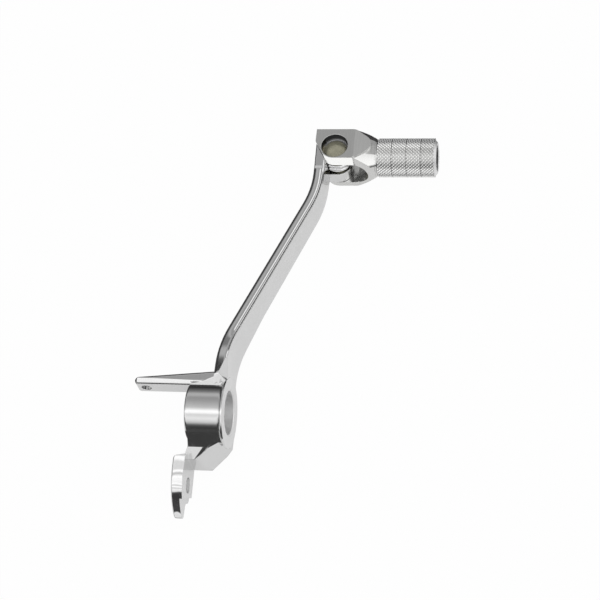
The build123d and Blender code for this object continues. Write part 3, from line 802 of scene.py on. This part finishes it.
def machined_alloy(edges, marks):
    """The toe peg: turned and milled light alloy with fine tool lines, and painted shade in the pin's recess,
    with an olive tone low on its near side.
    """
    material, tree, shader = metal("machined_alloy", (0.70, 0.70, 0.69))
    spot = in_mm(tree)
    x, y, z = spot
    lines, waves, _ = hand_marks(tree, marks, (3000, 90, 90), (160, 160, 160))

    from_x = math_node(tree, "SUBTRACT", x, HINGE_X)
    from_y = math_node(tree, "SUBTRACT", y, HINGE_Y)
    from_pin = radius_of(tree, from_x, from_y)
    recess = all_of(tree, step_up(tree, from_pin, *RECESS_WALL), between(tree, z, *RECESS_Z))
    # Painted shade: the recess wall is painted darker towards its rim, and an olive tone is painted low on
    # its near side.
    stops = [(level / RECESS_SCALE, value) for level, value in RECESS_SHADE_TONES]
    depth = ramp_node(tree, math_node(tree, "DIVIDE", z, RECESS_SCALE), stops)
    olive_side = all_of(tree, step_up(tree, y, *OLIVE_SIDE_Y), step_up(tree, z, *OLIVE_SIDE_Z))
    shaded_recess = tint(tree, olive_side, depth, OLIVE_SIDE_TONE)

    from_axis = radius_of(tree, math_node(tree, "SUBTRACT", y, PEG_AXIS_Y), z)
    end = step_up(tree, x, *PEG_END_X)
    # Painted shade: the wall of the drilled hole is painted almost black.
    hole_shade = all_of(tree, step_up(tree, from_axis, *HOLE_SHADE_RADIUS), between(tree, x, *HOLE_SHADE_X))

    tone = tint(tree, lines, (0.63, 0.63, 0.62, 1.0), (0.76, 0.76, 0.75, 1.0))
    tone = tint(tree, end, tint(tree, recess, tone, shaded_recess), 0.88)
    tree.links.new(tint(tree, hole_shade, tone, 0.06), shader.inputs["Base Color"])
    rough = math_node(tree, "MULTIPLY_ADD", lines, 0.14, 0.12)
    tree.links.new(mixed(tree, either(tree, recess, end), rough, 0.5), shader.inputs["Roughness"])
    normal = milled_sides(tree, spot, rounded(tree, edges, PEG_ROUNDING))
    height = math_node(tree, "MULTIPLY_ADD", waves, 2.0, lines)
    tree.links.new(bumped(tree, height, normal, 0.15), shader.inputs["Normal"])
    return material


def knurl_alloy(marks):
    """The knurl: the same alloy, with painted light: crests and the flanks that face the light painted bright
    as highlights, and the grooves and the far side of the peg painted dark as shade.
    """
    material, tree, shader = metal("knurl_alloy", (0.70, 0.70, 0.69))
    _, y, z = in_mm(tree)
    lines, _, _ = hand_marks(tree, marks, (900, 900, 900), (160, 160, 160))
    aside = math_node(tree, "SUBTRACT", y, PEG_AXIS_Y)
    from_axis = radius_of(tree, aside, z)
    along, forward, up = split(tree, tree.nodes.new("ShaderNodeNewGeometry").outputs["Normal"])
    falling = math_node(tree, "MULTIPLY", up, minus(tree, aside))
    around = math_node(tree, "DIVIDE", math_node(tree, "MULTIPLY_ADD", forward, z, falling), from_axis)
    # Painted light: flanks that face the light and the crests are painted bright, and the other flanks, the
    # grooves and the far side of the peg are painted dark as shade.
    lit_flank = step_up(tree, math_node(tree, "SUBTRACT", along, around), *LIT_FLANK_FACING)
    crest = step_up(tree, from_axis, *CREST_RADIUS)
    bright = (1.0, 1.0, 0.99, 1.0)
    tone = tint(tree, crest, tint(tree, lit_flank, 0.26, bright), bright)
    tone = tint(tree, step_up(tree, aside, *LIT_Y), tint(tree, lit_flank, 0.02, 0.40), tone)
    tree.links.new(tone, shader.inputs["Base Color"])
    tree.links.new(math_node(tree, "MULTIPLY_ADD", lines, 0.14, 0.22), shader.inputs["Roughness"])
    return material


def plated_steel(edges, marks):
    """The hinge pin: steel with yellow zinc plate, uneven in tone."""
    material, tree, shader = metal("plated_steel", (0.50, 0.47, 0.34))
    shader.inputs["Metallic"].default_value = 0.5
    lines, waves, _ = hand_marks(tree, marks, (500, 500, 500), (350, 350, 350))
    tone = tint(tree, waves, (0.26, 0.255, 0.19, 1.0), (0.72, 0.69, 0.52, 1.0))
    tree.links.new(tone, shader.inputs["Base Color"])
    tree.links.new(math_node(tree, "MULTIPLY_ADD", lines, 0.16, 0.18), shader.inputs["Roughness"])
    tree.links.new(bumped(tree, lines, rounded(tree, edges, PIN_ROUNDING), 0.1), shader.inputs["Normal"])
    return material


def spring_steel(marks):
    """The toe spring: bright drawn wire."""
    material, tree, shader = metal("spring_steel", (0.62, 0.62, 0.62))
    lines, waves, _ = hand_marks(tree, marks, (250, 250, 1800), (200, 200, 200))
    tree.links.new(tint(tree, lines, 0.70, 0.95), shader.inputs["Base Color"])
    tree.links.new(math_node(tree, "MULTIPLY_ADD", waves, 0.12, 0.16), shader.inputs["Roughness"])
    return material


# ---------------------------------------------------------------- studio

# Floor: its reach each way, its tone, and how white the camera sees it and the metal mirrors it
FLOOR_REACH = 3000
FLOOR_GAP = 0.2
FLOOR_TONE = 0.85
FLOOR_SEEN = 0.97
FLOOR_MIRRORED = 0.5

# Dark sheets on the floor: corners along X and Y
CARD_GAP = 0.1
CARD_TONE = 0.07
CARD_FAR = 2900
CARDS = {
    "card_behind": [(-CARD_FAR, -CARD_FAR), (CARD_FAR, -CARD_FAR), (CARD_FAR, -56), (-CARD_FAR, -56)],
    "card_inboard": [(-CARD_FAR, 24), (-22, 24), (8, 118), (8, CARD_FAR), (-CARD_FAR, CARD_FAR)],
    "card_ahead": [(8, 140), (CARD_FAR, 140), (CARD_FAR, CARD_FAR), (8, CARD_FAR)],
    "card_outboard": [(150, -56), (CARD_FAR, -56), (CARD_FAR, 140), (150, 140)],
}

# Brightness of the sky at angles from the rear horizon over the top to the front one
SKY_STRIPS = [
    (0, 0.065), (10, 0.065), (16, 0.09), (20, 0.20), (24, 0.40), (31, 0.60), (43, 0.76), (50, 0.66),
    (57, 0.60), (63, 0.90), (70, 1.0), (76, 0.76), (83, 0.48), (95, 0.39), (111, 0.29), (123, 0.26),
    (132, 0.38), (140, 0.38), (150, 0.17), (161, 0.085), (173, 0.04), (180, 0.04),
]

# Brightness by how far outboard a direction points, and its share by how far the direction rises
SKY_OUTBOARD = [(0.30, 0.0), (0.50, 0.85)]
SKY_RISE = [(4 / 90, 0.5), (16 / 90, 1.0)]
SKY_STRENGTH = 1.5

# Camera: its lens, its place, and the directions of its right, top and back
CAMERA_LENS = 102.06
CAMERA_PLACE = (154.003, -265.922, 581.745)
CAMERA_RIGHT = (0.98281409, 0.10156703, -0.15414477)
CAMERA_UP = (-0.01543928, 0.87733, 0.47963913)
CAMERA_BACK = (0.18395135, -0.46901621, 0.86382041)


def stage_plane(name, corners, material):
    """A flat sheet of the studio from its corners."""
    mesh = bpy.data.meshes.new(name)
    mesh.from_pydata(corners, [], [range(len(corners))])
    sheet = linked_in(name, mesh)
    mesh.materials.append(material)
    return sheet


def stage_material(name):
    """A bare material of the studio: its tree and the input for its surface."""
    material = bpy.data.materials.new(name)
    material.use_nodes = True
    tree = material.node_tree
    tree.nodes.clear()
    return material, tree, tree.nodes.new("ShaderNodeOutputMaterial").inputs["Surface"]


def shader_mix(tree, fac, first, second):
    """A blend of two shaders."""
    mix = tree.nodes.new("ShaderNodeMixShader")
    for socket, value in zip(mix.inputs, (fac, first.outputs[0], second.outputs[0])):
        tree.links.new(value, socket)
    return mix.outputs[0]


def pale_floor():
    """A pale floor that keeps a faint shadow and shows white to the camera and in the metal."""
    material, tree, surface = stage_material("pale_floor")
    paper = new_node(tree, "ShaderNodeBsdfDiffuse", Color=(FLOOR_TONE, FLOOR_TONE, FLOOR_TONE, 1))
    white = new_node(tree, "ShaderNodeEmission", Color=(1, 1, 1, 1), Strength=1.0)
    path = tree.nodes.new("ShaderNodeLightPath").outputs
    camera_share = math_node(tree, "MULTIPLY", path["Is Camera Ray"], FLOOR_SEEN)
    metal_share = math_node(tree, "MULTIPLY", path["Is Glossy Ray"], FLOOR_MIRRORED)
    tree.links.new(shader_mix(tree, either(tree, camera_share, metal_share), paper, white), surface)
    level = solid_box[0].z - FLOOR_GAP * MM
    far = FLOOR_REACH * MM
    corners = [(-far, -far, level), (far, -far, level), (far, far, level), (-far, far, level)]
    stage_plane("floor", corners, material)


def dark_cards():
    """Dark sheets that lie on the floor round the pedal and show only in the metal."""
    material, tree, surface = stage_material("dark_card")
    tone = (CARD_TONE, CARD_TONE, CARD_TONE, 1)
    tree.links.new(new_node(tree, "ShaderNodeEmission", Color=tone, Strength=1.0).outputs[0], surface)
    level = solid_box[0].z - CARD_GAP * MM
    for name, corners in CARDS.items():
        sheet = stage_plane(name, [(x * MM, y * MM, level) for x, y in corners], material)
        sheet.visible_camera = False
        sheet.visible_diffuse = False
        sheet.visible_shadow = False


def studio_world():
    """Soft light all round: bright overhead on the near side and outboard, dim ahead and dark low down."""
    world = bpy.data.worlds.new("studio")
    bpy.context.scene.world = world
    world.use_nodes = True
    tree = world.node_tree
    tree.nodes.clear()
    x, y, z = split(tree, tree.nodes.new("ShaderNodeTexCoord").outputs["Generated"])
    turn = math_node(tree, "ARCTAN2", z, minus(tree, y))
    stops = [(angle / 180, value) for angle, value in SKY_STRIPS]
    overhead = ramp_node(tree, math_node(tree, "DIVIDE", turn, math.pi), stops)
    outboard = ramp_node(tree, x, SKY_OUTBOARD)
    rise = math_node(tree, "DIVIDE", math_node(tree, "ARCSINE", z), math.pi / 2)
    share = ramp_node(tree, rise, SKY_RISE)
    shine = math_node(tree, "MULTIPLY", either(tree, overhead, outboard), share)
    sky = new_node(tree, "ShaderNodeBackground", Strength=SKY_STRENGTH)
    tree.links.new(shine, sky.inputs["Color"])
    white = new_node(tree, "ShaderNodeBackground", Color=(1, 1, 1, 1), Strength=1.0)
    seen = tree.nodes.new("ShaderNodeLightPath").outputs["Is Camera Ray"]
    out = tree.nodes.new("ShaderNodeOutputWorld")
    tree.links.new(shader_mix(tree, seen, sky, white), out.inputs["Surface"])


def camera():
    """The camera over the rear of the pedal, a little outboard, rolled as the pedal lies in view."""
    data = bpy.data.cameras.new("camera")
    data.sensor_width = 36.0
    data.lens = CAMERA_LENS
    data.clip_start = 0.01
    data.clip_end = 20.0
    seat = linked_in("camera", data)
    turn = Matrix((CAMERA_RIGHT, CAMERA_UP, CAMERA_BACK)).transposed().to_4x4()
    seat.matrix_world = Matrix.Translation(Vector(CAMERA_PLACE) * MM) @ turn
    bpy.context.scene.camera = seat


# ---------------------------------------------------------------- the pedal

camera()
studio_world()
pale_floor()
dark_cards()

edges = rounded_edges_group()
marks = hand_marks_group()
finishes = {
    "pedal_arm": polished_alloy(edges, marks, "polished_alloy", ARM_ROUNDING),
    "toe_peg": machined_alloy(edges, marks),
    "hinge_pin": plated_steel(edges, marks),
}
for name, finish in finishes.items():
    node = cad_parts[name]
    node.data.materials.clear()
    node.data.materials.append(finish)

# This strip has a round corner of its own
blade_edge(polished_alloy(edges, marks, "polished_edge", 0.0))
twisting_spring(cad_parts["toe_spring"], spring_steel(marks))

knurl_finish = knurl_alloy(marks)
tree = knurl_tree()
half_groove = BAND_GROOVE / 2
ends = [start - half_groove for start in BAND_STARTS[1:]] + [PEG_FLAT_END]
for number, (start, end) in enumerate(zip(BAND_STARTS, ends), 1):
    knurled_band(tree, number, start + half_groove - KNURL_OVERLAP, end + KNURL_OVERLAP, knurl_finish)
bpy.data.node_groups.remove(tree)

bpy.context.scene.view_settings.view_transform = "Standard"
